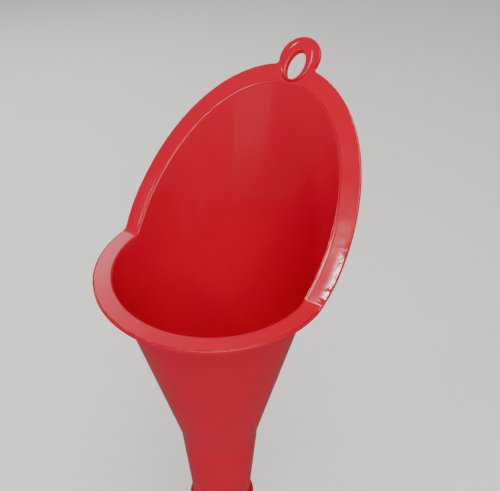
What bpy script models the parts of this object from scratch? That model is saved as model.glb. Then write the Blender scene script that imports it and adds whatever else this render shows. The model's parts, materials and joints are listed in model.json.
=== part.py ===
"""Anti-splash filling funnel: a level pouring rim, a tall slanted splash guard and a hang tab.

The bowl, the guard, the flange, the tab and the neck are one thin moulding. A strainer, which is a
moulded frame around a disc of woven wire, drops into the throat. A tapered spout pushes onto the
neck from below.

Frame: metres, +Z up along the funnel's axis, with the origin on the axis at the throat, where the
bowl meets the neck. The guard stands on the +Y side, and the pouring side faces -Y.
"""
import math

import bmesh
import bpy
from mathutils import Matrix, Vector

# Bowl and neck, inside of the wall
BOWL_DEPTH = 0.1258
RIM_RADIUS = 0.0526
THROAT_RADIUS = 0.0233
NECK_LENGTH = 0.0980
NECK_END_RADIUS = 0.0163
WALL = 0.0014

# Splash guard: the bowl's cone carried up to a plane that leaves the level rim at this angle
GUARD_ANGLE = math.radians(47.6)

# Flange, a folded sheet around the mouth
RIM_FLANGE = 0.0099
GUARD_FLANGE = 0.0106
FLANGE_THICKNESS = 0.0022
BEND_RADIUS = 0.0060

# Hang tab, placed along the guard's slope from the guard's inner top edge
TAB_RADIUS = 0.0115
TAB_RISE = 0.0150
BOSS_RADIUS = 0.0094
BOSS_HEIGHT = 0.0012
HANG_HOLE_WIDTH = 0.0098
HANG_HOLE_LENGTH = 0.0160
HANG_HOLE_RISE = 0.0100

# Stop ribs that the strainer sits on, just below the throat
STOP_RIB_COUNT = 4
STOP_RIB_REACH = 0.0032
STOP_RIB_HEIGHT = 0.0100
STOP_RIB_THICKNESS = 0.0016

# Strainer
SEAT_GAP = 0.0003
STRAINER_CLEARANCE = 0.0004
STRAINER_HEIGHT = 0.0060
STRAINER_WALL = 0.0030
GAUZE_THICKNESS = 0.0006
GAUZE_CLEARANCE = 0.0004
GAUZE_RISE = 0.0022
GAUZE_BITE = 0.0012
CROSSBAR_WIDTH = 0.0020
CROSSBAR_DROP = 0.0004
LIFT_TAB_WIDTH = 0.0120
LIFT_TAB_HEIGHT = 0.0160
LIFT_TAB_THICKNESS = 0.0020

# Spout
SOCKET_LENGTH = 0.0220
SOCKET_CLEARANCE = 0.0003
SOCKET_WALL = 0.0018
SOCKET_BEAD = 0.0012
SOCKET_BEAD_HEIGHT = 0.0040
SHOULDER_HEIGHT = 0.0100
SPOUT_LENGTH = 0.0790
SPOUT_TIP_RADIUS = 0.0093
AIR_RIB_COUNT = 3
AIR_RIB_HEIGHT = 0.0014
AIR_RIB_THICKNESS = 0.0016
AIR_RIB_END_GAP = 0.0120

# Facets and overlaps
TURN_STEPS = 72
ARC_STEPS = 6
OVERLAP = 0.0006
PAST = 0.0200
GUARD_TRIM_DEPTH = 0.0220
TAB_TRIM_DEPTH = 0.0180

RED = (0.68, 0.010, 0.016, 1.0)
WHITE = (0.80, 0.79, 0.76, 1.0)
STEEL = (0.60, 0.59, 0.57, 1.0)

GUARD_FRAME = (
    Matrix.Translation((0.0, 0.0, BOWL_DEPTH)) @ Matrix.Rotation(GUARD_ANGLE, 4, "X")
)
SIDE_FRAME = Matrix(((0, 0, 1, 0), (1, 0, 0, 0), (0, 1, 0, 0), (0, 0, 0, 1)))


def bowl_radius(z):
    """Inside radius of the bowl's cone at height z, also above the rim, where it is the guard."""
    return THROAT_RADIUS + (RIM_RADIUS - THROAT_RADIUS) * z / BOWL_DEPTH


def neck_radius(z):
    """Inside radius of the neck at height z, which is 0 at the throat and negative below it."""
    return THROAT_RADIUS + (NECK_END_RADIUS - THROAT_RADIUS) * -z / NECK_LENGTH


def guard_height():
    """Distance up the guard's slope from the level rim to the guard's inner top edge."""
    steepness = (RIM_RADIUS - THROAT_RADIUS) / BOWL_DEPTH * math.tan(GUARD_ANGLE)
    return RIM_RADIUS / (1 - steepness) / math.cos(GUARD_ANGLE)


def clear_scene():
    for item in list(bpy.data.objects):
        bpy.data.objects.remove(item, do_unlink=True)


def new_collection(name):
    collection = bpy.data.collections.new(name)
    bpy.context.scene.collection.children.link(collection)
    return collection


def make_material(name, colour, roughness, metallic=0.0):
    material = bpy.data.materials.new(name)
    material.use_nodes = True
    shader = material.node_tree.nodes["Principled BSDF"]
    shader.inputs["Base Color"].default_value = colour
    shader.inputs["Roughness"].default_value = roughness
    shader.inputs["Metallic"].default_value = metallic
    return material


def make_cutter(item):
    """Keep a shape as a hidden guide, apart from the parts."""
    for collection in list(item.users_collection):
        collection.objects.unlink(item)
    CUTTERS.objects.link(item)
    item.hide_render = True
    item.hide_set(True)
    item.display_type = "WIRE"
    return item


def turned(name, profile, closed=False):
    """Turn a profile of (radius, z) points, which runs down its outer side, around the Z axis."""
    mesh = bpy.data.meshes.new(name)
    count = len(profile)
    edges = [(i, i + 1) for i in range(count - 1)]
    if closed:
        edges.append((count - 1, 0))
    mesh.from_pydata([(radius, 0.0, z) for radius, z in profile], edges, [])
    item = bpy.data.objects.new(name, mesh)
    PARTS.objects.link(item)
    screw = item.modifiers.new("turn", "SCREW")
    screw.axis = "Z"
    screw.steps = TURN_STEPS
    screw.render_steps = TURN_STEPS
    screw.use_merge_vertices = True
    screw.merge_threshold = 0.00001
    return item


def sheet(name, outline, thickness, frame=None):
    """A flat closed outline in its own XY plane, given a thickness about that plane."""
    curve = bpy.data.curves.new(name, "CURVE")
    curve.dimensions = "2D"
    curve.fill_mode = "BOTH"
    curve.extrude = thickness / 2
    spline = curve.splines.new("POLY")
    spline.points.add(len(outline) - 1)
    for point, (x, y) in zip(spline.points, outline):
        point.co = (x, y, 0.0, 1.0)
    spline.use_cyclic_u = True
    guide = bpy.data.objects.new(name + "_outline", curve)
    PARTS.objects.link(guide)
    if frame is not None:
        guide.matrix_world = frame
    bpy.context.view_layer.update()
    evaluated = guide.evaluated_get(bpy.context.evaluated_depsgraph_get())
    mesh = bpy.data.meshes.new_from_object(evaluated)
    welded = bmesh.new()
    welded.from_mesh(mesh)
    bmesh.ops.remove_doubles(welded, verts=welded.verts, dist=0.00001)
    bmesh.ops.recalc_face_normals(welded, faces=welded.faces)
    welded.to_mesh(mesh)
    welded.free()
    item = bpy.data.objects.new(name, mesh)
    item.matrix_world = guide.matrix_world.copy()
    PARTS.objects.link(item)
    bpy.data.objects.remove(guide, do_unlink=True)
    return item


def cylinder(name, radius, depth, frame):
    bpy.ops.mesh.primitive_cylinder_add(vertices=TURN_STEPS, radius=radius, depth=depth)
    item = bpy.context.active_object
    item.name = name
    item.matrix_world = frame
    for collection in list(item.users_collection):
        collection.objects.unlink(item)
    PARTS.objects.link(item)
    return item


def combine(target, other, operation):
    """Join, cut or intersect target with another shape, which becomes a hidden guide."""
    boolean = target.modifiers.new(other.name, "BOOLEAN")
    boolean.operation = operation
    boolean.object = make_cutter(other)
    boolean.solver = "EXACT"


def finish(item, material):
    item.data.materials.clear()
    item.data.materials.append(material)
    item.data.shade_smooth()
    weld = item.modifiers.new("weld", "WELD")
    weld.merge_threshold = 0.000001
    return item


def folded_line(depth, reach):
    """(y, z) points along the folded flange, depth below its top face: level, bend, then slope."""
    tangent = BEND_RADIUS * math.tan(GUARD_ANGLE / 2)
    centre = Vector((-tangent, BOWL_DEPTH + BEND_RADIUS))
    points = [(-reach, BOWL_DEPTH - depth)]
    for step in range(ARC_STEPS + 1):
        angle = -math.pi / 2 + GUARD_ANGLE * step / ARC_STEPS
        radius = BEND_RADIUS + depth
        points.append(
            (centre.x + radius * math.cos(angle), centre.y + radius * math.sin(angle))
        )
    slope = Vector((math.cos(GUARD_ANGLE), math.sin(GUARD_ANGLE)))
    below = Vector((math.sin(GUARD_ANGLE), -math.cos(GUARD_ANGLE))) * depth
    end = Vector((0.0, BOWL_DEPTH)) + slope * 2 * reach + below
    points.append((end.x, end.y))
    return points


def guard_outline(offset):
    """(x, s) points around the guard in its slanted plane, offset outward from its inner edge.

    The inner edge is where the bowl's cone meets the plane. At angle a around the axis its radius
    is RIM_RADIUS / (1 - e sin a), with e the cone's slope times the tangent of the guard's angle.
    """
    e = (RIM_RADIUS - THROAT_RADIUS) / BOWL_DEPTH * math.tan(GUARD_ANGLE)
    points = []
    for step in range(TURN_STEPS // 2 + 1):
        a = math.pi * step / (TURN_STEPS // 2)
        radius = RIM_RADIUS / (1 - e * math.sin(a))
        growth = radius * radius * e * math.cos(a) / RIM_RADIUS
        along_x = growth * math.cos(a) - radius * math.sin(a)
        along_s = (growth * math.sin(a) + radius * math.cos(a)) / math.cos(GUARD_ANGLE)
        outward = Vector((along_s, -along_x)).normalized() * offset
        x = radius * math.cos(a) + outward.x
        s = radius * math.sin(a) / math.cos(GUARD_ANGLE) + outward.y
        points.append((x, s))
    return points


def mouth_outline():
    """The shape that the folded flange is trimmed to: round rim, guard and hang tab together."""
    outer = RIM_RADIUS + RIM_FLANGE
    rim = [
        (outer * math.cos(math.pi * (1 + step / (TURN_STEPS // 2))),
         outer * math.sin(math.pi * (1 + step / (TURN_STEPS // 2))))
        for step in range(TURN_STEPS // 2 + 1)
    ]
    rim += [(outer, BEND_RADIUS), (-outer, BEND_RADIUS)]
    trim = sheet("trim", rim, PAST, Matrix.Translation((0, 0, BOWL_DEPTH)))
    guard = sheet("trim_guard", guard_outline(GUARD_FLANGE), GUARD_TRIM_DEPTH, GUARD_FRAME)
    tab_centre = Matrix.Translation((0, guard_height() + TAB_RISE, 0))
    tab = cylinder("trim_tab", TAB_RADIUS, TAB_TRIM_DEPTH, GUARD_FRAME @ tab_centre)
    combine(trim, guard, "UNION")
    combine(trim, tab, "UNION")
    return trim


def folded_flange():
    reach = RIM_RADIUS + RIM_FLANGE + PAST
    section = folded_line(0.0, reach) + folded_line(FLANGE_THICKNESS, reach)[::-1]
    flange = sheet("flange", section, 2 * reach, SIDE_FRAME)
    combine(flange, mouth_outline(), "INTERSECT")
    return flange


def slot_outline(width, length):
    """A slot with round ends, its length along Y."""
    radius = width / 2
    points = []
    for end in (1, -1):
        for step in range(2 * ARC_STEPS + 1):
            a = math.pi * step / (2 * ARC_STEPS)
            points.append(
                (end * radius * math.cos(a), end * (length / 2 - radius + radius * math.sin(a)))
            )
    return points


def hang_boss():
    """The raised round pad on the tab."""
    depth = FLANGE_THICKNESS / 2 + BOSS_HEIGHT
    centre = Matrix.Translation((0, guard_height() + TAB_RISE, BOSS_HEIGHT - depth / 2))
    return cylinder("hang_boss", BOSS_RADIUS, depth, GUARD_FRAME @ centre)


def hang_hole():
    centre = Matrix.Translation((0, guard_height() + HANG_HOLE_RISE, 0))
    outline = slot_outline(HANG_HOLE_WIDTH, HANG_HOLE_LENGTH)
    return sheet("hang_hole", outline, PAST, GUARD_FRAME @ centre)


def stop_rib(index):
    """One rib under the strainer: its back is buried halfway in the neck's wall."""
    low = -STOP_RIB_HEIGHT
    outline = [
        (THROAT_RADIUS - STOP_RIB_REACH, 0.0),
        (neck_radius(low) - STOP_RIB_REACH / 3, low),
        (neck_radius(low) + WALL / 2, low),
        (THROAT_RADIUS + WALL / 2, 0.0),
    ]
    turn = Matrix.Rotation(2 * math.pi * (index + 0.5) / STOP_RIB_COUNT, 4, "Z")
    upright = Matrix.Rotation(math.pi / 2, 4, "X")
    return sheet("stop_rib", outline, STOP_RIB_THICKNESS, turn @ upright)


def build_body(material):
    top = BOWL_DEPTH + (guard_height() + GUARD_FLANGE) * math.sin(GUARD_ANGLE)
    body = turned("funnel_body", [
        (0.0, top),
        (bowl_radius(top) + WALL, top),
        (THROAT_RADIUS + WALL, 0.0),
        (NECK_END_RADIUS + WALL, -NECK_LENGTH),
        (0.0, -NECK_LENGTH),
    ])
    reach = 2 * RIM_RADIUS
    middle = folded_line(FLANGE_THICKNESS / 2, reach)
    above = middle + [(middle[-1][0], 2 * top), (-reach, 2 * top)]
    combine(body, sheet("above_mouth", above, 4 * reach, SIDE_FRAME), "DIFFERENCE")
    combine(body, folded_flange(), "UNION")
    combine(body, hang_boss(), "UNION")
    bore = turned("bore", [
        (0.0, 2 * top),
        (bowl_radius(2 * top), 2 * top),
        (THROAT_RADIUS, 0.0),
        (neck_radius(-NECK_LENGTH - PAST), -NECK_LENGTH - PAST),
        (0.0, -NECK_LENGTH - PAST),
    ])
    combine(body, bore, "DIFFERENCE")
    combine(body, hang_hole(), "DIFFERENCE")
    for index in range(STOP_RIB_COUNT):
        combine(body, stop_rib(index), "UNION")
    return finish(body, material)


def gauze_height():
    """Height of the middle of the wire disc."""
    return SEAT_GAP + GAUZE_RISE + GAUZE_THICKNESS / 2


def strainer_inner_radius():
    return THROAT_RADIUS - STRAINER_CLEARANCE - STRAINER_WALL


def build_strainer_frame(material):
    low = SEAT_GAP
    high = SEAT_GAP + STRAINER_HEIGHT
    inner = strainer_inner_radius()
    groove = inner + GAUZE_BITE + GAUZE_CLEARANCE
    half_gap = GAUZE_THICKNESS / 2 + GAUZE_CLEARANCE
    frame = turned("strainer_frame", [
        (inner, high),
        (bowl_radius(high) - STRAINER_CLEARANCE, high),
        (bowl_radius(low) - STRAINER_CLEARANCE, low),
        (inner, low),
        (inner, gauze_height() - half_gap),
        (groove, gauze_height() - half_gap),
        (groove, gauze_height() + half_gap),
        (inner, gauze_height() + half_gap),
    ], closed=True)
    bar_low = gauze_height() + half_gap + CROSSBAR_DROP
    bar_high = high - CROSSBAR_DROP
    bar_reach = 2 * inner + STRAINER_WALL
    for turn in (0.0, math.pi / 2):
        bpy.ops.mesh.primitive_cube_add(size=1.0)
        bar = bpy.context.active_object
        bar.name = "crossbar"
        bar.matrix_world = (
            Matrix.Translation((0, 0, (bar_low + bar_high) / 2))
            @ Matrix.Rotation(turn, 4, "Z")
            @ Matrix.Diagonal((bar_reach, CROSSBAR_WIDTH, bar_high - bar_low, 1.0))
        )
        combine(frame, bar, "UNION")
    combine(frame, lift_tab(bar_low), "UNION")
    return finish(frame, material)


def lift_tab(bar_low):
    """The finger tab that stands on the crossbars, with a half-round top."""
    radius = LIFT_TAB_WIDTH / 2
    base = bar_low + OVERLAP
    shoulder = SEAT_GAP + LIFT_TAB_HEIGHT + STRAINER_HEIGHT - radius
    outline = [(-radius, base), (radius, base)]
    for step in range(2 * ARC_STEPS + 1):
        a = math.pi * step / (2 * ARC_STEPS)
        outline.append((radius * math.cos(a), shoulder + radius * math.sin(a)))
    return sheet("lift_tab", outline, LIFT_TAB_THICKNESS, Matrix.Rotation(math.pi / 2, 4, "X"))


def build_gauze(material):
    radius = strainer_inner_radius() + GAUZE_BITE
    place = Matrix.Translation((0, 0, gauze_height()))
    return finish(cylinder("strainer_gauze", radius, GAUZE_THICKNESS, place), material)


def spout_bore(z):
    """Inside radius of the spout below its shoulder."""
    start = -NECK_LENGTH - SOCKET_CLEARANCE
    end = -NECK_LENGTH - SPOUT_LENGTH
    share = (z - start) / (end - start)
    return NECK_END_RADIUS + (SPOUT_TIP_RADIUS - NECK_END_RADIUS) * share


def build_spout(material):
    socket_top = -NECK_LENGTH + SOCKET_LENGTH
    shoulder = -NECK_LENGTH - SOCKET_CLEARANCE
    waist = shoulder - SHOULDER_HEIGHT
    tip = -NECK_LENGTH - SPOUT_LENGTH
    fit = WALL + SOCKET_CLEARANCE
    bead_low = socket_top - SOCKET_BEAD_HEIGHT
    spout = turned("spout", [
        (neck_radius(socket_top) + fit, socket_top),
        (neck_radius(socket_top) + fit + SOCKET_WALL + SOCKET_BEAD, socket_top),
        (neck_radius(bead_low) + fit + SOCKET_WALL + SOCKET_BEAD, bead_low),
        (neck_radius(bead_low) + fit + SOCKET_WALL, bead_low - SOCKET_BEAD),
        (neck_radius(shoulder) + fit + SOCKET_WALL, shoulder),
        (spout_bore(waist) + WALL, waist),
        (SPOUT_TIP_RADIUS + WALL, tip),
        (SPOUT_TIP_RADIUS, tip),
        (spout_bore(shoulder), shoulder),
        (neck_radius(shoulder) + fit, shoulder),
    ], closed=True)
    for index in range(AIR_RIB_COUNT):
        rib = air_rib(index, waist - AIR_RIB_END_GAP / 4, tip + AIR_RIB_END_GAP)
        combine(spout, rib, "UNION")
    return finish(spout, material)


def air_rib(index, high, low):
    """One rib along the outside of the spout, which lets air past it in a tight filler neck.

    Both its ends ramp down into the spout's wall.
    """
    ramp = 2 * AIR_RIB_HEIGHT
    outline = [
        (spout_bore(high) + WALL / 2, high),
        (spout_bore(high - ramp) + WALL + AIR_RIB_HEIGHT, high - ramp),
        (spout_bore(low + ramp) + WALL + AIR_RIB_HEIGHT, low + ramp),
        (spout_bore(low) + WALL / 2, low),
    ]
    turn = Matrix.Rotation(2 * math.pi * index / AIR_RIB_COUNT - math.pi / 2, 4, "Z")
    upright = Matrix.Rotation(math.pi / 2, 4, "X")
    return sheet("air_rib", outline, AIR_RIB_THICKNESS, turn @ upright)


clear_scene()
PARTS = new_collection("funnel")
CUTTERS = new_collection("cutters")
build_body(make_material("red_polypropylene", RED, 0.22))
build_strainer_frame(make_material("white_polypropylene", WHITE, 0.35))
build_gauze(make_material("steel_wire", STEEL, 0.30, 1.0))
build_spout(make_material("spout_polypropylene", RED, 0.25))
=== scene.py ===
"""Looks of an anti-splash filling funnel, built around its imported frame.

One glossy red moulding (bowl, slanted splash guard, folded flange, hang tab and neck), a lift-out
strainer of white plastic and woven wire in the throat, and a push-on spout. Lengths are in metres
in the frame's axes: +Z up the funnel's axis, the guard towards +Y, the origin at the throat.
"""
import json
import math

import bmesh
import bpy
import numpy as np
from mathutils import Matrix, Vector


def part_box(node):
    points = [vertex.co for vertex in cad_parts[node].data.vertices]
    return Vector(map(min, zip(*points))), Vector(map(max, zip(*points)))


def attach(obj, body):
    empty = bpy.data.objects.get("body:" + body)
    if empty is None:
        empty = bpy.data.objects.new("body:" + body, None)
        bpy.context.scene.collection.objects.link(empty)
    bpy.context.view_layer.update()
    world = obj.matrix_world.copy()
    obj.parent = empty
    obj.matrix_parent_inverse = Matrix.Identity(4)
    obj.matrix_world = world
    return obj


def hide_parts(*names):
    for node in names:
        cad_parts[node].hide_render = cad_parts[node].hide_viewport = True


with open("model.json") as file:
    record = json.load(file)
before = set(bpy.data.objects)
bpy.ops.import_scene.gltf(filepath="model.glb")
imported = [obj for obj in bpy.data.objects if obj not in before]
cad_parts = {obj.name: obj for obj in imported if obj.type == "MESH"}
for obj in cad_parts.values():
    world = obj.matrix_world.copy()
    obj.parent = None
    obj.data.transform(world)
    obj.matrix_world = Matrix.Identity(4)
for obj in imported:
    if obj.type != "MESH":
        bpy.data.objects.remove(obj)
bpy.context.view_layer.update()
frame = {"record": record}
mounts = {mount["name"]: mount for mount in frame["record"]["mounts"]}

# Places and sizes that the frame gives
RIM_Z = mounts["rim_face"]["pos_m"][2]
FLANGE_THICKNESS = RIM_Z - mounts["rim_underside"]["pos_m"][2]
TAB_BACK = mounts["hang_tab_back"]["axis"]
GUARD_ANGLE = math.atan2(TAB_BACK[1], -TAB_BACK[2])
BODY_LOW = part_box("funnel_body")[0]
NECK_END = BODY_LOW.z
RIM_OUTER = -BODY_LOW.y
SPOUT_LOW, SPOUT_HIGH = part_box("spout")
RING_LOW, RING_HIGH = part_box("strainer_frame")
GAUZE_LOW, GAUZE_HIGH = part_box("strainer_gauze")

# The body's own sizes, the same as its solid's
RIM_RADIUS = 0.0526
THROAT_RADIUS = 0.0233
NECK_END_RADIUS = 0.0163
WALL = 0.0014
GUARD_FLANGE = 0.0106
BEND_RADIUS = 0.0060
TAB_RADIUS = 0.0115
TAB_RISE = 0.0150
BOSS_RADIUS = 0.0094
BOSS_HEIGHT = 0.0012
HANG_HOLE_WIDTH = 0.0098
HANG_HOLE_LENGTH = 0.0160
HANG_HOLE_RISE = 0.0100
STOP_RIB_COUNT = 4
STOP_RIB_REACH = 0.0032
STOP_RIB_HEIGHT = 0.0100
STOP_RIB_THICKNESS = 0.0016

# The strainer's and the spout's own sizes
STRAINER_CLEARANCE = 0.0004
STRAINER_HEIGHT = 0.0060
STRAINER_WALL = 0.0030
CROSSBAR_WIDTH = 0.0020
CROSSBAR_DROP = 0.0004
LIFT_TAB_WIDTH = 0.0120
LIFT_TAB_THICKNESS = 0.0020
GRIP_LENGTH = 0.0070
GRIP_WIDTH = 0.0026
GRIP_HEIGHT = 0.0008
GRIP_SPACING = 0.0020
WIRE_PITCH = 0.0010
WIRE_RADIUS = 0.000125
SOCKET_CLEARANCE = 0.0003
SOCKET_WALL = 0.0018
SOCKET_BEAD = 0.0012
SOCKET_BEAD_HEIGHT = 0.0040
SHOULDER_HEIGHT = 0.0100
SPOUT_TIP_RADIUS = 0.0093
AIR_RIB_COUNT = 3
AIR_RIB_HEIGHT = 0.0014
AIR_RIB_THICKNESS = 0.0016
AIR_RIB_END_GAP = 0.0120

# Roundings that the mouldings have
EDGE_ROUND = 0.0005
MOUTH_ROUND = 0.0008
UNDER_ROUND = 0.0010
THROAT_BLEND = 0.0040
TAB_ROOT_ROUND = 0.0020

# The hang hole's raised pad is a closed ring of its own, sunk into the moulding, whose hole is
# larger by the lap. The ring lines that hole, and stands proud of the underside by a hair.
HOLE_LAP = 0.0005
HOLE_LIP = 0.0013
PAD_SIDE_INSET = 0.0003
PAD_SHOULDER = 0.75
PAD_SUNK = 0.0008
PAD_KEY = 0.0010
PAD_PROUD = 0.00003

CONE = (RIM_RADIUS - THROAT_RADIUS) / RIM_Z
TAPER = (THROAT_RADIUS - NECK_END_RADIUS) / -NECK_END
BEND_START = -BEND_RADIUS * math.tan(GUARD_ANGLE / 2)
BEND_LENGTH = BEND_RADIUS * GUARD_ANGLE
QUARTER = math.pi / 2


# ---------------------------------------------------------------- meshes

def make_piece(name, shells, body, node, material):
    """One object from closed shells of (points, faces), placed on its body and finish slot."""
    starts = np.cumsum([0] + [len(points) for points, _ in shells[:-1]])
    points = np.concatenate([points for points, _ in shells])
    faces = np.concatenate([faces + start for (_, faces), start in zip(shells, starts)])
    mesh = bpy.data.meshes.new(name)
    mesh.vertices.add(len(points))
    mesh.vertices.foreach_set("co", points.astype(np.float32).ravel())
    mesh.loops.add(faces.size)
    mesh.loops.foreach_set("vertex_index", faces.astype(np.int32).ravel())
    mesh.polygons.add(len(faces))
    mesh.polygons.foreach_set("loop_start", np.arange(0, faces.size, 4, dtype=np.int32))
    mesh.update(calc_edges=True)
    welded = bmesh.new()
    welded.from_mesh(mesh)
    bmesh.ops.remove_doubles(welded, verts=welded.verts, dist=1e-7)
    welded.to_mesh(mesh)
    welded.free()
    mesh.shade_smooth()
    mesh.materials.append(material)
    piece = bpy.data.objects.new(name, mesh)
    bpy.context.scene.collection.objects.link(piece)
    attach(piece, body)
    if node is not None:
        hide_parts(node)
    return piece


def grid_faces(rows, columns):
    """Quads of a grid closed both ways, facing outwards when each row runs anticlockwise and the
    rows climb the inner side and go down the outer one."""
    row, column = np.meshgrid(np.arange(rows), np.arange(columns), indexing="ij")
    after, beside = (row + 1) % rows, (column + 1) % columns
    corners = [(row, column), (after, column), (after, beside), (row, beside)]
    return np.stack([r * columns + c for r, c in corners], axis=-1).reshape(-1, 4)


def rounded(corners, cut, steps=4):
    """The closed profile with each corner replaced by a curve that starts and ends cut away.

    The curve is a parabola: corner + (1 - a)^2 cut towards the last corner + a^2 cut to the next.
    """
    corners = np.asarray(corners, float)
    cut = np.broadcast_to(np.asarray(cut, float), len(corners))[:, None]
    back = np.roll(corners, 1, axis=0) - corners
    ahead = np.roll(corners, -1, axis=0) - corners
    back *= cut / np.linalg.norm(back, axis=1, keepdims=True)
    ahead *= cut / np.linalg.norm(ahead, axis=1, keepdims=True)
    a = np.linspace(0.0, 1.0, steps + 1)[None, :, None]
    curve = corners[:, None] + (1 - a) ** 2 * back[:, None] + a ** 2 * ahead[:, None]
    return curve.reshape(-1, corners.shape[1])


def turned(profile, columns):
    """A closed profile of (radius, z) turned about the axis: each point draws a circle."""
    angle = np.linspace(0.0, 2 * math.pi, columns, endpoint=False)
    radius, z = profile[:, :1], profile[:, 1:]
    points = np.stack([
        radius * np.cos(angle),
        radius * np.sin(angle),
        np.repeat(z, columns, axis=1),
    ], axis=-1)
    return points.reshape(-1, 3), grid_faces(len(profile), columns)


def block(section, side, up, along, thickness, soft):
    """A convex section, its points (side, up), carried along a third direction to a thickness.

    Each station is (distance, scale): the section shrinks about its own middle by the scale, to a
    point at both ends, with a soft edge between the ends and the sides.
    """
    middle = section.mean(axis=0)
    shrink = soft / np.abs(section - middle).max()
    half, near = thickness / 2, 0.3
    end = np.array([
        (-half, 0.0), (-half, 0.5), (-half, 1 - shrink), (-half + near * soft, 1 - near * shrink),
        (-half + soft, 1.0),
    ])
    stations = np.concatenate([end, end[::-1] * (-1, 1)])
    shrunk = middle + (section - middle)[None] * stations[:, 1, None, None]
    points = (
        shrunk[..., :1] * np.asarray(side) + shrunk[..., 1:] * np.asarray(up)
        + stations[:, :1, None] * np.asarray(along)
    )
    faces = grid_faces(len(stations), len(section))[: -len(section)]
    return points.reshape(-1, 3), faces[:, ::-1]


def moved(shell, turn, offset=(0.0, 0.0, 0.0)):
    """The shell turned about the axis by an angle and then moved."""
    c, s = math.cos(turn), math.sin(turn)
    points = shell[0] @ np.array([(c, s, 0.0), (-s, c, 0.0), (0.0, 0.0, 1.0)]) + np.asarray(offset)
    return points, shell[1]


# ---------------------------------------------------------------- the folded flange's surface

def ease(value, low, high):
    """0 below low, 1 above high, and a cubic ease between."""
    t = np.clip((value - low) / (high - low), 0.0, 1.0)
    return t * t * (3 - 2 * t)


def fold(x, v, n):
    """A point of the folded sheet: x across, v along its section from the bend's start, n above.

    The section is level up to v = 0, turns through the guard's angle on the bend's radius, and
    then runs straight up the slope.
    """
    turn = np.clip(v / BEND_RADIUS, 0.0, GUARD_ANGLE)
    level = np.minimum(v, 0.0)
    slope = np.maximum(v - BEND_LENGTH, 0.0)
    radius = BEND_RADIUS - n
    y = BEND_START + level + radius * np.sin(turn) + slope * math.cos(GUARD_ANGLE)
    z = RIM_Z + BEND_RADIUS - radius * np.cos(turn) + slope * math.sin(GUARD_ANGLE)
    return np.stack(np.broadcast_arrays(x, y, z), axis=-1)


def unfold(y, n):
    """(v, z) of the sheet's surface n above its top face, at a place y along the funnel."""
    radius = BEND_RADIUS - n
    sine = np.clip((y - BEND_START) / radius, 0.0, math.sin(GUARD_ANGLE))
    turn = np.arcsin(sine)
    beyond = np.maximum(y - BEND_START - radius * math.sin(GUARD_ANGLE), 0.0)
    v = np.minimum(y - BEND_START, 0.0) + BEND_RADIUS * turn + beyond / math.cos(GUARD_ANGLE)
    z = RIM_Z + BEND_RADIUS - radius * np.cos(turn) + beyond * math.tan(GUARD_ANGLE)
    return v, z


def mouth_edge(angle, wall, n):
    """(x, v, z) where a cone as wide as the bowl plus wall meets the sheet, at angles around.

    The radius at height z is THROAT_RADIUS + CONE z + wall. The height that the sheet has there
    is put back in until the two agree.
    """
    z = np.full_like(angle, RIM_Z)
    for _ in range(60):
        radius = THROAT_RADIUS + CONE * z + wall
        v, z = unfold(radius * np.sin(angle), n)
    radius = THROAT_RADIUS + CONE * z + wall
    return radius * np.cos(angle), v, z


def plain_outline(angle):
    """(x, v) of the flange's outer edge without the tab, and its outward direction.

    The edge lies a set width outside the mouth's, measured square to it on the flat sheet. The
    width eases from the rim's to the guard's through the bend.
    """
    step = 0.001
    x, v, _ = mouth_edge(angle, 0.0, 0.0)
    x0, v0, _ = mouth_edge(angle - step, 0.0, 0.0)
    x1, v1, _ = mouth_edge(angle + step, 0.0, 0.0)
    length = np.hypot(x1 - x0, v1 - v0)
    out_x, out_v = (v1 - v0) / length, -(x1 - x0) / length
    rim_flange = RIM_OUTER - RIM_RADIUS
    width = rim_flange + (GUARD_FLANGE - rim_flange) * ease(v, 0.0, 4 * BEND_LENGTH)
    return x + width * out_x, v + width * out_v


GUARD_TOP = float(mouth_edge(np.array([QUARTER]), 0.0, 0.0)[1][0])
TAB_CENTRE = GUARD_TOP + TAB_RISE
HOLE_CENTRE = GUARD_TOP + HANG_HOLE_RISE


def tab_root():
    """Centre (x, v) of the small arc that joins the tab to the flange on the +X side, the angles
    at which it meets the tab and the flange, and the mouth's angle level with that end.

    Near the tab the flange's edge is taken as a circle through its points 12 mm to each side and
    at the top. The arc's centre lies one root rounding outside both that circle and the tab's.
    """
    angles = np.linspace(QUARTER - 0.8, QUARTER, 800)
    x, v = plain_outline(angles)
    reach = 0.012
    drop = v[-1] - np.interp(-reach, -x, v)
    edge = (reach ** 2 + drop ** 2) / (2 * drop)
    middle = v[-1] - edge
    far, near, apart = edge + TAB_ROOT_ROUND, TAB_RADIUS + TAB_ROOT_ROUND, TAB_CENTRE - middle
    root_v = middle + (far ** 2 - near ** 2 + apart ** 2) / (2 * apart)
    root_x = math.sqrt(far ** 2 - (root_v - middle) ** 2)
    on_tab = math.atan2(root_v - TAB_CENTRE, root_x)
    on_edge = math.atan2(root_v - middle, root_x)
    meets = np.interp(-edge * math.cos(on_edge), -x, angles)
    return root_x, root_v, on_tab, on_edge, float(meets)


ROOT_X, ROOT_V, ROOT_ON_TAB, ROOT_ON_EDGE, ROOT_MEETS = tab_root()


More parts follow.
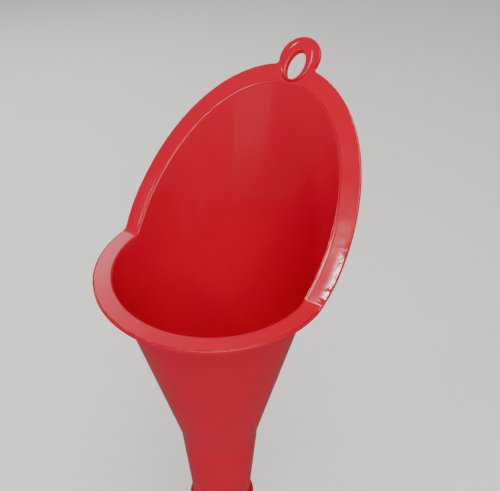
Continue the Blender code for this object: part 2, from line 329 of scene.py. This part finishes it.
def tab_outline(share):
    """(x, v) around the tab, from share -1 at its left root's end to 1 at its right root's.

    Equal shares are equal lengths, first along the tab's circle, down from its top, and then back
    around the root's arc, which turns the other way.
    """
    tab_length = TAB_RADIUS * (QUARTER - ROOT_ON_TAB)
    start, end = ROOT_ON_TAB + math.pi, ROOT_ON_EDGE + math.pi
    root_length = TAB_ROOT_ROUND * abs(end - start)
    length = np.abs(share) * (tab_length + root_length)
    angle = QUARTER - np.minimum(length, tab_length) / TAB_RADIUS
    turn = start + (end - start) * np.maximum(length - tab_length, 0.0) / root_length
    on_tab = length <= tab_length
    x = np.where(on_tab, TAB_RADIUS * np.cos(angle), ROOT_X + TAB_ROOT_ROUND * np.cos(turn))
    v = np.where(
        on_tab, TAB_CENTRE + TAB_RADIUS * np.sin(angle), ROOT_V + TAB_ROOT_ROUND * np.sin(turn)
    )
    return np.where(share < 0, -x, x), v


def hole_half_width(v, lap):
    """Half the oval hang hole's width at v, for a hole larger by lap all round."""
    height = (v - HOLE_CENTRE) / (HANG_HOLE_LENGTH / 2 + lap)
    return (HANG_HOLE_WIDTH / 2 + lap) * np.sqrt(np.maximum(1 - height ** 2, 0.0))


# ---------------------------------------------------------------- pieces

def bezier(first, control, last, steps):
    """Rows of a quadratic curve between two rows of points, its ends left out."""
    a = np.linspace(0.0, 1.0, steps + 1)[1:-1, None, None]
    return (1 - a) ** 2 * first + 2 * a * (1 - a) * control + a ** 2 * last


def on_cone(angle, radius, z):
    """Points at these angles around the axis, with a radius and a height for each."""
    return np.stack(np.broadcast_arrays(radius * np.cos(angle), radius * np.sin(angle), z), -1)


def body_columns():
    """The mouth's angles, once anticlockwise round from the tab's middle and back to it.

    They are close together over the tab and the two bends. A second array gives how far each one
    is from the tab's middle, as a share of half the tab.
    """
    half_tab = QUARTER - ROOT_MEETS
    bend = 0.14
    stretches = [
        (0.0, half_tab, 44), (half_tab, QUARTER - bend, 46), (QUARTER - bend, QUARTER + bend, 80),
        (QUARTER + bend, math.pi, 56),
    ]
    left = np.concatenate([np.linspace(a, b, n, endpoint=False) for a, b, n in stretches])
    turns = np.concatenate([left, 2 * math.pi - left[::-1]])
    turns = np.insert(turns, len(left), math.pi)
    return QUARTER + turns, turns / half_tab


def body_shell():
    """The whole moulding as one closed sheet of rows and columns.

    A column lies at one angle a around the mouth. Its rows climb the inside of the neck and bowl,
    r = THROAT_RADIUS + CONE z, to the mouth's edge, cross the flange in a straight line on the
    flat sheet to the outline, turn over the edge, come back underneath and go down the outside.
    Around the tab the outline is the tab's own, shared out evenly over the columns. The first and
    last columns both lie at the middle of the tab. Where they cross the hang hole they part: each
    point at x moves out to h + |x| (1 - h / X), with h the hole's half width at its place and X
    the width of flange that gives way, and the two sides are joined through the thickness.
    """
    angle, share = body_columns()
    share = np.where(share > share[-1] / 2, share - share[-1], share)
    x_in, v_in, z_in = mouth_edge(angle, 0.0, 0.0)
    x_wall, v_wall, z_wall = mouth_edge(angle, WALL, -FLANGE_THICKNESS)
    plain = plain_outline(angle)
    tab = tab_outline(-share)
    near_tab = np.abs(share) <= 1
    x_out = np.where(near_tab, tab[0], plain[0])
    v_out = np.where(near_tab, tab[1], plain[1])
    width = np.hypot(x_out - x_in, v_out - v_in)

    half_hole = HANG_HOLE_LENGTH / 2 + HOLE_LAP
    middle_width = TAB_CENTRE + TAB_RADIUS - GUARD_TOP
    hole_rows = HOLE_CENTRE - GUARD_TOP - half_hole * np.cos(np.linspace(0.0, math.pi, 29))
    rest = np.linspace(hole_rows[-1] / middle_width, 1.0, 7)[1:-1]
    across = np.concatenate([hole_rows / middle_width, rest])[:, None]
    give_way = 0.86 * TAB_RADIUS

    def flange(part, n):
        x = x_in + part * (x_out - x_in)
        v = v_in + part * (v_out - v_in)
        hole = hole_half_width(v, HOLE_LAP)
        side = np.where(np.arange(len(angle)) < len(angle) / 2, -1.0, 1.0)
        parted = side * (hole + np.abs(x) * (1 - hole / give_way))
        opened = (np.abs(x) < give_way) & (np.abs(v - HOLE_CENTRE) < half_hole) & near_tab
        return fold(np.where(opened, parted, x), v, n)

    inner_start = MOUTH_ROUND / width
    outer_end = 1 - EDGE_ROUND / width
    edge = fold(x_in, v_in, 0.0)
    wall_edge = fold(x_wall, v_wall, -FLANGE_THICKNESS)
    out_top, out_low = fold(x_out, v_out, 0.0), fold(x_out, v_out, -FLANGE_THICKNESS)
    side_top = fold(x_out, v_out, -EDGE_ROUND)
    side_low = fold(x_out, v_out, EDGE_ROUND - FLANGE_THICKNESS)
    top_end = flange(outer_end, 0.0)
    low_end = flange(outer_end, -FLANGE_THICKNESS)
    below_start = ((x_wall - x_in) * (x_out - x_in) + (v_wall - v_in) * (v_out - v_in)) / width ** 2
    below_start = np.maximum(below_start + UNDER_ROUND / width, across[0])
    below = 1 - (1 - across[::-1]) * (1 - below_start) / (1 - across[0])

    def bowl(z, wall):
        return on_cone(angle, THROAT_RADIUS + CONE * z + wall, z)

    def neck(z, wall):
        return on_cone(angle, THROAT_RADIUS + TAPER * z + wall, z)

    inner_top = z_in - MOUTH_ROUND
    outer_top = z_wall - UNDER_ROUND
    climb = np.linspace(0.0, 1.0, 15)[:, None]
    neck_rows = np.linspace(NECK_END + EDGE_ROUND, -THROAT_BLEND, 8)[:, None]
    knee, outer_knee = bowl(0.0, 0.0), bowl(0.0, WALL)
    end_in, end_out = neck(NECK_END, EDGE_ROUND), neck(NECK_END, WALL - EDGE_ROUND)

    rows, first_row = [], {}

    def lay(name, points):
        first_row[name] = sum(map(len, rows))
        rows.append(points.reshape(-1, len(angle), 3))

    lay("neck_in", neck(neck_rows, 0.0))
    lay("throat_in", bezier(neck(-THROAT_BLEND, 0.0), knee, bowl(THROAT_BLEND, 0.0), 7))
    lay("bowl_in", bowl(THROAT_BLEND + climb * (inner_top - THROAT_BLEND), 0.0))
    lay("mouth", bezier(bowl(inner_top, 0.0), edge, flange(inner_start, 0.0), 5))
    lay("mouth_end", flange(inner_start, 0.0))
    lay("top", flange(across, 0.0))
    lay("top_end", top_end)
    lay("edge_top", bezier(top_end, out_top, side_top, 4))
    lay("side", np.stack([side_top, side_low]))
    lay("edge_low", bezier(side_low, out_low, low_end, 4))
    lay("low_end", low_end)
    lay("below", flange(below, -FLANGE_THICKNESS))
    lay("under", bezier(flange(below[-1], -FLANGE_THICKNESS), wall_edge, bowl(outer_top, WALL), 6))
    lay("bowl_out", bowl(outer_top + climb * (THROAT_BLEND - outer_top), WALL))
    lay("throat_out", bezier(bowl(THROAT_BLEND, WALL), outer_knee, neck(-THROAT_BLEND, WALL), 7))
    lay("neck_out", neck(neck_rows[::-1], WALL))
    lay("end_out", bezier(neck(neck_rows[0], WALL), neck(NECK_END, WALL), end_out, 4))
    lay("end", np.stack([end_out, end_in]))
    lay("end_in", bezier(end_in, neck(NECK_END, 0.0), neck(neck_rows[0], 0.0), 4))
    points = np.concatenate(rows)

    count, columns = len(points), len(angle) - 1
    index = np.arange(count * columns).reshape(count, columns)
    index = np.concatenate([index, index[:, :1]], axis=1)
    hole_count = len(hole_rows)
    top = first_row["top"] + np.arange(hole_count)
    low = first_row["below"] + len(across) - 1 - np.arange(hole_count)
    split = np.concatenate([top[1:-1], low[1:-1]])
    index[split, -1] = count * columns + np.arange(len(split))
    vertices = np.concatenate([points[:, :-1].reshape(-1, 3), points[split, -1]])
    following = np.roll(index, -1, axis=0)
    faces = np.stack([index[:, :-1], following[:, :-1], following[:, 1:], index[:, 1:]], -1)
    # the walls that join the parted columns, from the top face's rows to the underside's
    corners = [index[top[1:]], index[top[:-1]], index[low[:-1]], index[low[1:]]]
    left = np.stack([row[:, 0] for row in corners], -1)
    right = np.stack([row[:, -1] for row in corners], -1)[:, [1, 0, 3, 2]]
    return vertices, np.concatenate([faces.reshape(-1, 4), left, right])


def hole_ring_shell():
    """The raised oval pad around the hang hole: one section carried around the hole's outline.

    Its foot lies on an ellipse from the pad's top on the tab to a lip below the hole. The foot is
    w outside the hole along the hole's own normal q: with the ellipse scaled to a unit circle, w
    is where the line from the hole's point along q leaves it. A corner of the section is
    (share of w, distance out, height over the flange), and each is rounded by a parabola that
    takes no more than 0.48 of the shorter side beside it.
    """
    turn = np.linspace(0.0, 2 * math.pi, 96, endpoint=False)
    half = np.array([HANG_HOLE_WIDTH, HANG_HOLE_LENGTH]) / 2
    circle = np.stack([np.cos(turn), np.sin(turn)], -1)
    start = circle * half + np.array([0.0, HOLE_CENTRE])
    out = circle / half
    out /= np.linalg.norm(out, axis=1, keepdims=True)
    top = TAB_CENTRE + BOSS_RADIUS
    low = HOLE_CENTRE - HANG_HOLE_LENGTH / 2 - HOLE_LIP
    axes = np.array([BOSS_RADIUS - PAD_SIDE_INSET, (top - low) / 2])
    p = (start - np.array([0.0, (top + low) / 2])) / axes
    q = out / axes
    pq, qq, pp = (p * q).sum(-1), (q * q).sum(-1), (p * p).sum(-1)
    w = (np.sqrt(pq ** 2 + qq * (1 - pp)) - pq) / qq
    base = -FLANGE_THICKNESS - PAD_PROUD
    profile = [
        # share of w, distance out, height, cut
        (0.00, 0.0, base, 0.0003),
        (0.00, 0.0, BOSS_HEIGHT, 0.0010),
        (PAD_SHOULDER, 0.0, BOSS_HEIGHT, 0.0010),
        (1.00, 0.0, 0.0, 0.0003),
        (1.10, 0.0, -PAD_SUNK / 4, 0.00005),
        (1.10, 0.0, -PAD_SUNK, 0.00005),
        (0.00, PAD_KEY, -PAD_SUNK, 0.00005),
        (0.00, PAD_KEY, 0.0003 - FLANGE_THICKNESS, 0.00005),
        (0.00, 0.9 * HOLE_LAP, base, 0.0001),
    ]
    corners, cuts = np.array(profile)[:, :3], np.array(profile)[:, 3]
    distance = corners[:, 0] * w[:, None] + corners[:, 1]
    height = np.broadcast_to(corners[:, 2], distance.shape)
    section = np.stack([distance, height], -1)
    back = np.roll(section, 1, axis=1) - section
    ahead = np.roll(section, -1, axis=1) - section
    before, after = np.linalg.norm(back, axis=-1), np.linalg.norm(ahead, axis=-1)
    cuts = np.minimum(cuts, 0.48 * np.minimum(before, after))
    back *= (cuts / before)[..., None]
    ahead *= (cuts / after)[..., None]
    a = np.linspace(0.0, 1.0, 8)[:, None]
    curve = section[:, :, None] + (1 - a) ** 2 * back[:, :, None] + a ** 2 * ahead[:, :, None]
    curve = curve.reshape(len(turn), -1, 2)
    x = start[:, :1] + out[:, :1] * curve[..., 0]
    v = start[:, 1:] + out[:, 1:] * curve[..., 0]
    points = fold(x, v, curve[..., 1]).transpose(1, 0, 2)
    return points.reshape(-1, 3), grid_faces(points.shape[0], points.shape[1])


def stop_rib_shells():
    """The ribs under the strainer: a four-sided section in (radius, z), given its thickness."""
    low = -STOP_RIB_HEIGHT
    low_radius = THROAT_RADIUS + TAPER * low
    section = rounded([
        (THROAT_RADIUS + WALL / 2, 0.0), (THROAT_RADIUS - STOP_RIB_REACH, 0.0),
        (low_radius - STOP_RIB_REACH / 3, low), (low_radius + WALL / 2, low),
    ], 0.0003)
    rib = block(section[::-1], (1, 0, 0), (0, 0, 1), (0, 1, 0), STOP_RIB_THICKNESS, 0.0003)
    turns = 2 * math.pi * (np.arange(STOP_RIB_COUNT) + 0.5) / STOP_RIB_COUNT
    return [moved(rib, turn) for turn in turns]


def strainer_shells():
    """The tapered ring, the two crossbars and the finger tab with its grip bars."""
    low, high = RING_LOW.z, RING_LOW.z + STRAINER_HEIGHT
    inner = THROAT_RADIUS - STRAINER_CLEARANCE - STRAINER_WALL
    outer = THROAT_RADIUS - STRAINER_CLEARANCE + CONE * np.array([low, high])
    ring = turned(rounded([
        (inner, low), (inner, high), (outer[1], high), (outer[0], low),
    ], 0.0005), 180)
    bar_low, bar_high = GAUZE_HIGH.z + 2.0 * CROSSBAR_DROP, high - CROSSBAR_DROP
    half = CROSSBAR_WIDTH / 2
    bar_section = rounded([
        (half, bar_low), (half, bar_high), (-half, bar_high), (-half, bar_low),
    ], 0.0004)
    bar_length = 2 * inner + STRAINER_WALL
    bar = block(bar_section, (0, 1, 0), (0, 0, 1), (-1, 0, 0), bar_length, 0.0002)
    radius = LIFT_TAB_WIDTH / 2
    shoulder = RING_HIGH.z - radius
    arc = np.linspace(0.0, math.pi, 33)
    outline = np.stack([radius * np.cos(arc), shoulder + radius * np.sin(arc)], -1)
    foot_low, foot_high = bar_low + 0.0006, shoulder - 0.0010
    foot = rounded([
        (radius, foot_high), (-radius, foot_high), (-radius, foot_low), (radius, foot_low),
    ], 0.0004)
    points_of_first_corner = 5
    outline = np.concatenate([outline, foot[points_of_first_corner:]])
    tab = block(outline, (1, 0, 0), (0, 0, 1), (0, -1, 0), LIFT_TAB_THICKNESS, 0.0005)
    wide, tall = GRIP_WIDTH / 2, GRIP_HEIGHT / 2
    grip_section = rounded([(wide, -tall), (wide, tall), (-wide, tall), (-wide, -tall)], 0.0003)
    grip = block(grip_section, (0, 1, 0), (0, 0, 1), (-1, 0, 0), GRIP_LENGTH, 0.0003)
    grips = [moved(grip, 0.0, (0, 0, shoulder + GRIP_SPACING * number)) for number in (-1, 0, 1)]
    return [ring, bar, moved(bar, QUARTER), tab, *grips]


def gauze_shell():
    """Plain weave: each wire waves over one crossing wire and under the next.

    Wire i runs at (i + 1/2) pitch from the middle, and its height there is the disc's middle plus
    one wire radius times (-1)^i sin(pi t / pitch), t being the distance along it. The wires across
    it wave the other way. The rings around a wire have five sides, and its ends close to points.
    """
    stations, sides = 160, 5
    radius = GAUZE_HIGH.x
    middle = (GAUZE_LOW.z + GAUZE_HIGH.z) / 2
    count = int(radius / WIRE_PITCH)
    number = np.arange(-count, count)
    offset = (number + 0.5) * WIRE_PITCH
    half = np.sqrt(radius ** 2 - offset ** 2) - WIRE_RADIUS
    along = half[:, None] * np.linspace(-1.0, 1.0, stations)
    wave = np.where(number % 2 == 0, 1.0, -1.0)[:, None] * np.sin(math.pi * along / WIRE_PITCH)
    ring = np.linspace(0.0, 2 * math.pi, sides, endpoint=False)
    thick = np.full(stations, WIRE_RADIUS)
    thick[[0, -1]] = 0.0
    side = offset[:, None, None] + thick[:, None] * np.cos(ring)
    one_wire = grid_faces(stations, sides)[:-sides]
    first_points = np.arange(len(number))[:, None, None] * stations * sides
    faces = (one_wire + first_points).reshape(-1, 4)
    shells = []
    for direction in (1.0, -1.0):
        z = middle + direction * WIRE_RADIUS * wave[..., None] + thick[:, None] * np.sin(ring)
        t = np.broadcast_to(along[..., None], z.shape)
        across = np.broadcast_to(side, z.shape)
        order = (t, across, z) if direction > 0 else (across, t, z)
        points = np.stack(order, -1).reshape(-1, 3)
        shells.append((points, faces[:, ::-1] if direction > 0 else faces))
    return shells


def spout_shells():
    """The turned spout, its socket, bead and shoulder, and the air ribs along its outside."""
    socket_top, tip = SPOUT_HIGH.z, SPOUT_LOW.z
    shoulder = NECK_END - SOCKET_CLEARANCE
    waist = shoulder - SHOULDER_HEIGHT
    fit = WALL + SOCKET_CLEARANCE
    bead_low = socket_top - SOCKET_BEAD_HEIGHT

    def neck(z):
        return THROAT_RADIUS + TAPER * z

    def bore(z):
        share = (z - shoulder) / (tip - shoulder)
        return NECK_END_RADIUS + (SPOUT_TIP_RADIUS - NECK_END_RADIUS) * share

    outside = fit + SOCKET_WALL
    profile = [
        # radius, z, cut
        (SPOUT_TIP_RADIUS, tip, 0.0004),
        (bore(shoulder), shoulder, 0.0003),
        (neck(shoulder) + fit, shoulder, 0.0003),
        (neck(socket_top) + fit, socket_top, 0.0006),
        (neck(socket_top) + outside + SOCKET_BEAD, socket_top, 0.0008),
        (neck(bead_low) + outside + SOCKET_BEAD, bead_low, 0.0008),
        (neck(bead_low) + outside, bead_low - SOCKET_BEAD, 0.0006),
        (neck(shoulder) + outside, shoulder, 0.0020),
        (bore(waist) + WALL, waist, 0.0025),
        (SPOUT_TIP_RADIUS + WALL, tip, 0.0006),
    ]
    corners, cuts = np.array(profile)[:, :2], np.array(profile)[:, 2]
    shells = [turned(rounded(corners, cuts, 5), 180)]
    high, low, ramp = waist - AIR_RIB_END_GAP / 4, tip + AIR_RIB_END_GAP, 2 * AIR_RIB_HEIGHT
    section = rounded([
        (bore(high) + WALL / 2, high), (bore(low) + WALL / 2, low),
        (bore(low + ramp) + WALL + AIR_RIB_HEIGHT, low + ramp),
        (bore(high - ramp) + WALL + AIR_RIB_HEIGHT, high - ramp),
    ], [0.0003, 0.0003, 0.0014, 0.0014], 6)
    rib = block(section[::-1], (1, 0, 0), (0, 0, 1), (0, 1, 0), AIR_RIB_THICKNESS, 0.0004)
    turns = 2 * math.pi * np.arange(AIR_RIB_COUNT) / AIR_RIB_COUNT - QUARTER
    return shells + [moved(rib, turn) for turn in turns]


# ---------------------------------------------------------------- materials

def linear(colour):
    """Linear RGBA of an sRGB hex colour."""
    parts = [int(colour[i:i + 2], 16) / 255 for i in (1, 3, 5)]
    return (*[p / 12.92 if p <= 0.04045 else ((p + 0.055) / 1.055) ** 2.4 for p in parts], 1.0)


def add(tree, kind, settings=None, values=None, links=None):
    """One node with its settings, socket values and links: {socket: (node, output)}."""
    node = tree.nodes.new(kind)
    for name, value in (settings or {}).items():
        setattr(node, name, value)
    for name, value in (values or {}).items():
        node.inputs[name].default_value = value
    for name, (source, output) in (links or {}).items():
        tree.links.new(source.outputs[output], node.inputs[name])
    return node


def new_material(name, values):
    """A material with its shader's constant values set on the shader's own sockets."""
    material = bpy.data.materials.new(name)
    material.use_nodes = True
    shader = material.node_tree.nodes["Principled BSDF"]
    for socket, value in values.items():
        shader.inputs[socket].default_value = value
    return material, material.node_tree, shader


def moulded_polypropylene(name, deep, light, roughness):
    """Coloured polypropylene, injection moulded in a polished tool: an even strong colour with a
    faint milky depth, a gloss just off a mirror's, and the slow waves that shrinkage leaves."""
    material, tree, shader = new_material(name, {
        "IOR": 1.49,
        "Specular IOR Level": 0.45,
        "Subsurface Weight": 0.06,
        "Subsurface Radius": (1.0, 0.12, 0.08),
        "Subsurface Scale": 0.0015,
    })
    place = add(tree, "ShaderNodeTexCoord")
    # pigment streaks about 40 mm across
    cloud = add(tree, "ShaderNodeTexNoise", None, {"Scale": 25.0, "Detail": 2.0}, {
        "Vector": (place, "Object"),
    })
    tint = add(tree, "ShaderNodeMix", {"data_type": "RGBA"}, None, {"Factor": (cloud, "Fac")})
    tint.inputs["A"].default_value = linear(deep)
    tint.inputs["B"].default_value = linear(light)
    tree.links.new(tint.outputs["Result"], shader.inputs["Base Color"])
    # handling haze in patches about 15 mm across
    haze = add(tree, "ShaderNodeTexNoise", None, {"Scale": 70.0, "Detail": 4.0}, {
        "Vector": (place, "Object"),
    })
    gloss = add(tree, "ShaderNodeMapRange", None, {
        "From Min": 0.3, "From Max": 0.7, "To Min": roughness - 0.03, "To Max": roughness + 0.05,
    }, {"Value": (haze, "Fac")})
    # distance out from the bowl's inner cone, level with the place
    split = add(tree, "ShaderNodeSeparateXYZ", None, None, {"Vector": (place, "Object")})
    flat = add(tree, "ShaderNodeCombineXYZ", None, None, {"X": (split, "X"), "Y": (split, "Y")})
    radius = add(tree, "ShaderNodeVectorMath", {"operation": "LENGTH"}, None, {
        "Vector": (flat, "Vector"),
    })
    cone = add(tree, "ShaderNodeMath", {"operation": "MULTIPLY_ADD"}, {1: CONE, 2: THROAT_RADIUS}, {
        0: (split, "Z"),
    })
    out = add(tree, "ShaderNodeMath", {"operation": "SUBTRACT"}, None, {
        0: (radius, "Value"), 1: (cone, "Value"),
    })
    # the level flange's face comes from a finely ground part of the tool
    flange = add(tree, "ShaderNodeMapRange", None, {
        "From Min": 0.2 * WALL, "From Max": 0.6 * WALL,
    }, {"Value": (out, "Value")})
    front = add(tree, "ShaderNodeMapRange", None, {
        "From Min": BEND_START + 0.0010, "From Max": BEND_START - 0.0005,
    }, {"Value": (split, "Y"), "To Max": (flange, "Result")})
    top = add(tree, "ShaderNodeMapRange", None, {
        "From Min": RIM_Z - 0.0006, "From Max": RIM_Z - 0.0002,
    }, {"Value": (split, "Z"), "To Max": (front, "Result")})
    ground = add(tree, "ShaderNodeMapRange", None, {
        "From Min": RIM_Z + 0.0010, "From Max": RIM_Z + 0.0002,
    }, {"Value": (split, "Z"), "To Max": (top, "Result")})
    rough = add(tree, "ShaderNodeMath", {"operation": "MULTIPLY_ADD"}, {1: 0.16}, {
        0: (ground, "Result"), 2: (gloss, "Result"),
    })
    # the sloping flange is a little buckled for about 30 mm above the bend, hazier on its inner
    # half and glossier on its outer one
    apart = add(tree, "ShaderNodeMapRange", None, {
        "From Min": 1.15 * WALL, "From Max": 1.5 * WALL,
    }, {"Value": (out, "Value")})
    slope = add(tree, "ShaderNodeMapRange", None, {
        "From Min": RIM_Z + 0.036, "From Max": RIM_Z + 0.018,
    }, {"Value": (split, "Z"), "To Max": (apart, "Result")})
    buckled = add(tree, "ShaderNodeMapRange", None, {
        "From Min": RIM_Z + 0.0005, "From Max": RIM_Z + 0.0040,
    }, {"Value": (split, "Z"), "To Max": (slope, "Result")})
    change = add(tree, "ShaderNodeMapRange", None, {
        "From Min": 0.48 * GUARD_FLANGE, "From Max": 0.80 * GUARD_FLANGE,
        "To Min": 0.16, "To Max": -0.08,
    }, {"Value": (out, "Value")})
    final = add(tree, "ShaderNodeMath", {"operation": "MULTIPLY_ADD"}, None, {
        0: (buckled, "Result"), 1: (change, "Result"), 2: (rough, "Value"),
    })
    tree.links.new(final.outputs["Value"], shader.inputs["Roughness"])
    # shrinkage waves about 12 mm long and a few hundredths of a millimetre deep
    waves = add(tree, "ShaderNodeTexNoise", None, {"Scale": 80.0, "Detail": 1.0}, {
        "Vector": (place, "Object"),
    })
    bump = add(tree, "ShaderNodeBump", None, {"Strength": 0.25, "Distance": 0.00012}, {
        "Height": (waves, "Fac"),
    })
    # the buckles, 4 to 7 mm across
    buckles = add(tree, "ShaderNodeTexNoise", None, {"Scale": 190.0, "Detail": 2.0}, {
        "Vector": (place, "Object"),
    })
    depth = add(tree, "ShaderNodeMath", {"operation": "MULTIPLY"}, None, {
        0: (buckles, "Fac"), 1: (buckled, "Result"),
    })
    buckle = add(tree, "ShaderNodeBump", None, {"Strength": 0.5, "Distance": 0.0004}, {
        "Height": (depth, "Value"), "Normal": (bump, "Normal"),
    })
    tree.links.new(buckle.outputs["Normal"], shader.inputs["Normal"])
    return material


def white_polypropylene():
    """Natural polypropylene, moulded: milky, slightly warm and half matt."""
    material, tree, shader = new_material("natural_polypropylene_moulded", {
        "IOR": 1.49,
        "Subsurface Weight": 0.3,
        "Subsurface Radius": (1.0, 0.95, 0.85),
        "Subsurface Scale": 0.002,
    })
    place = add(tree, "ShaderNodeTexCoord")
    # flow marks about 5 mm across
    cloud = add(tree, "ShaderNodeTexNoise", None, {"Scale": 200.0, "Detail": 3.0}, {
        "Vector": (place, "Object"),
    })
    tint = add(tree, "ShaderNodeMix", {"data_type": "RGBA"}, None, {"Factor": (cloud, "Fac")})
    tint.inputs["A"].default_value = linear("#dedbd2")
    tint.inputs["B"].default_value = linear("#eceae4")
    tree.links.new(tint.outputs["Result"], shader.inputs["Base Color"])
    gloss = add(tree, "ShaderNodeMapRange", None, {"To Min": 0.38, "To Max": 0.50}, {
        "Value": (cloud, "Fac"),
    })
    tree.links.new(gloss.outputs["Result"], shader.inputs["Roughness"])
    bump = add(tree, "ShaderNodeBump", None, {"Strength": 0.3, "Distance": 0.00005}, {
        "Height": (cloud, "Fac"),
    })
    tree.links.new(bump.outputs["Normal"], shader.inputs["Normal"])
    return material


def drawn_steel_wire():
    """Stainless steel wire, drawn and woven: a grey metal, half bright and faintly mottled."""
    material, tree, shader = new_material("stainless_wire_woven", {"Metallic": 1.0})
    place = add(tree, "ShaderNodeTexCoord")
    # handling marks about 1 mm across
    cloud = add(tree, "ShaderNodeTexNoise", None, {"Scale": 900.0, "Detail": 2.0}, {
        "Vector": (place, "Object"),
    })
    tint = add(tree, "ShaderNodeMix", {"data_type": "RGBA"}, None, {"Factor": (cloud, "Fac")})
    tint.inputs["A"].default_value = linear("#a9a7a2")
    tint.inputs["B"].default_value = linear("#cfccc6")
    tree.links.new(tint.outputs["Result"], shader.inputs["Base Color"])
    gloss = add(tree, "ShaderNodeMapRange", None, {"To Min": 0.24, "To Max": 0.42}, {
        "Value": (cloud, "Fac"),
    })
    tree.links.new(gloss.outputs["Result"], shader.inputs["Roughness"])
    return material


def painted_floor():
    """Pale matt board, lit a little from below: almost even, with the faintest mottling."""
    material, tree, shader = new_material("pale_board_matt", {
        "Roughness": 0.6,
        "Emission Color": (1.0, 0.99, 0.96, 1.0),
        "Emission Strength": 0.3,
    })
    place = add(tree, "ShaderNodeTexCoord")
    # mottling about 250 mm across
    cloud = add(tree, "ShaderNodeTexNoise", None, {"Scale": 4.0, "Detail": 3.0}, {
        "Vector": (place, "Object"),
    })
    tint = add(tree, "ShaderNodeMix", {"data_type": "RGBA"}, None, {"Factor": (cloud, "Fac")})
    tint.inputs["A"].default_value = linear("#ebe9e3")
    tint.inputs["B"].default_value = linear("#f3f2ed")
    tree.links.new(tint.outputs["Result"], shader.inputs["Base Color"])
    return material


# ---------------------------------------------------------------- the object

body_red = moulded_polypropylene("red_polypropylene_moulded", "#d0002b", "#da0030", 0.15)
spout_red = moulded_polypropylene("red_polypropylene_satin", "#cc0029", "#d6002e", 0.24)
white = white_polypropylene()
wire = drawn_steel_wire()

make_piece(
    "body_moulding", [body_shell()], "funnel", "funnel_body", body_red)
make_piece(
    "hang_hole_ring", [hole_ring_shell()], "funnel", None, body_red)
make_piece(
    "stop_ribs", stop_rib_shells(), "funnel", None, body_red)
make_piece(
    "strainer_moulding", strainer_shells(), "strainer", "strainer_frame", white)
make_piece(
    "strainer_wires", gauze_shell(), "strainer", "strainer_gauze", wire)
make_piece(
    "spout_moulding", spout_shells(), "spout", "spout", spout_red)


# ---------------------------------------------------------------- floor, lights and camera

FLOOR_REACH = 6.0
FLOOR_Z = -0.215
LIT_POINT = Vector((0.0, 0.02, 0.15))
LIGHT_DISTANCE = 1.8
CAMERA_PLACE = (0.1557, -0.2034, 0.3220)
CAMERA_AZIMUTH, CAMERA_ELEVATION, CAMERA_ROLL = np.radians([33.24, 35.58, 0.45])
CAMERA_LENS, CAMERA_SENSOR = 44.2, 36.0


def stage_plane(name, size, z, material):
    """A square floor at height z, reaching size to each side. It is kept out of reflections, where
    it would wash out the colour of the bowl's underside."""
    mesh = bpy.data.meshes.new(name)
    corners = [(-size, -size, z), (size, -size, z), (size, size, z), (-size, size, z)]
    mesh.from_pydata(corners, [], [(0, 1, 2, 3)])
    mesh.materials.append(material)
    plane = bpy.data.objects.new(name, mesh)
    bpy.context.scene.collection.objects.link(plane)
    plane.visible_glossy = False


def soft_light(name, towards, width, height, power):
    """A flat light at the lights' distance from the mouth in a direction, facing the mouth."""
    data = bpy.data.lights.new(name, "AREA")
    data.shape = "RECTANGLE"
    data.size = width
    data.size_y = height
    data.energy = power
    light = bpy.data.objects.new(name, data)
    direction = Vector(towards).normalized()
    light.location = LIT_POINT + direction * LIGHT_DISTANCE
    light.rotation_euler = (-direction).to_track_quat("-Z", "Y").to_euler()
    bpy.context.scene.collection.objects.link(light)


stage_plane("floor", FLOOR_REACH, FLOOR_Z, painted_floor())
world = bpy.data.worlds.new("studio")
world.use_nodes = True
background = world.node_tree.nodes["Background"]
background.inputs["Color"].default_value = (1.0, 1.0, 1.0, 1.0)
background.inputs["Strength"].default_value = 0.13
bpy.context.scene.world = world
soft_light("overhead", (0.25, -0.25, 0.93), 1.0, 1.0, 29.0)
soft_light("front_right", (0.62, -0.62, 0.48), 0.9, 0.9, 8.0)
soft_light("low_front", (0.0, -1.0, 0.08), 1.0, 0.35, 0.5)
soft_light("left_window", (-0.75, 0.47, 0.47), 0.45, 0.45, 4.0)
soft_light("left_strip", (-0.975, -0.10, 0.20), 0.08, 0.35, 6.0)
soft_light("rear_strip", (-0.75, 0.55, 0.36), 0.3, 0.25, 4.0)
soft_light("glint", (-0.289, -0.69, 0.664), 0.10, 0.14, 3.0)

back = Vector((
    math.sin(CAMERA_AZIMUTH) * math.cos(CAMERA_ELEVATION),
    -math.cos(CAMERA_AZIMUTH) * math.cos(CAMERA_ELEVATION),
    math.sin(CAMERA_ELEVATION),
))
right = (-back).cross(Vector((0, 0, 1))).normalized()
up = right.cross(-back)
level = Matrix((right, up, back)).transposed()
camera_data = bpy.data.cameras.new("camera")
camera_data.lens = CAMERA_LENS
camera_data.sensor_width = CAMERA_SENSOR
camera_data.clip_start = 0.01
camera = bpy.data.objects.new("camera", camera_data)
camera.matrix_world = Matrix.Translation(CAMERA_PLACE) @ (
    level @ Matrix.Rotation(CAMERA_ROLL, 3, "Z")
).to_4x4()
bpy.context.scene.collection.objects.link(camera)
bpy.context.scene.camera = camera
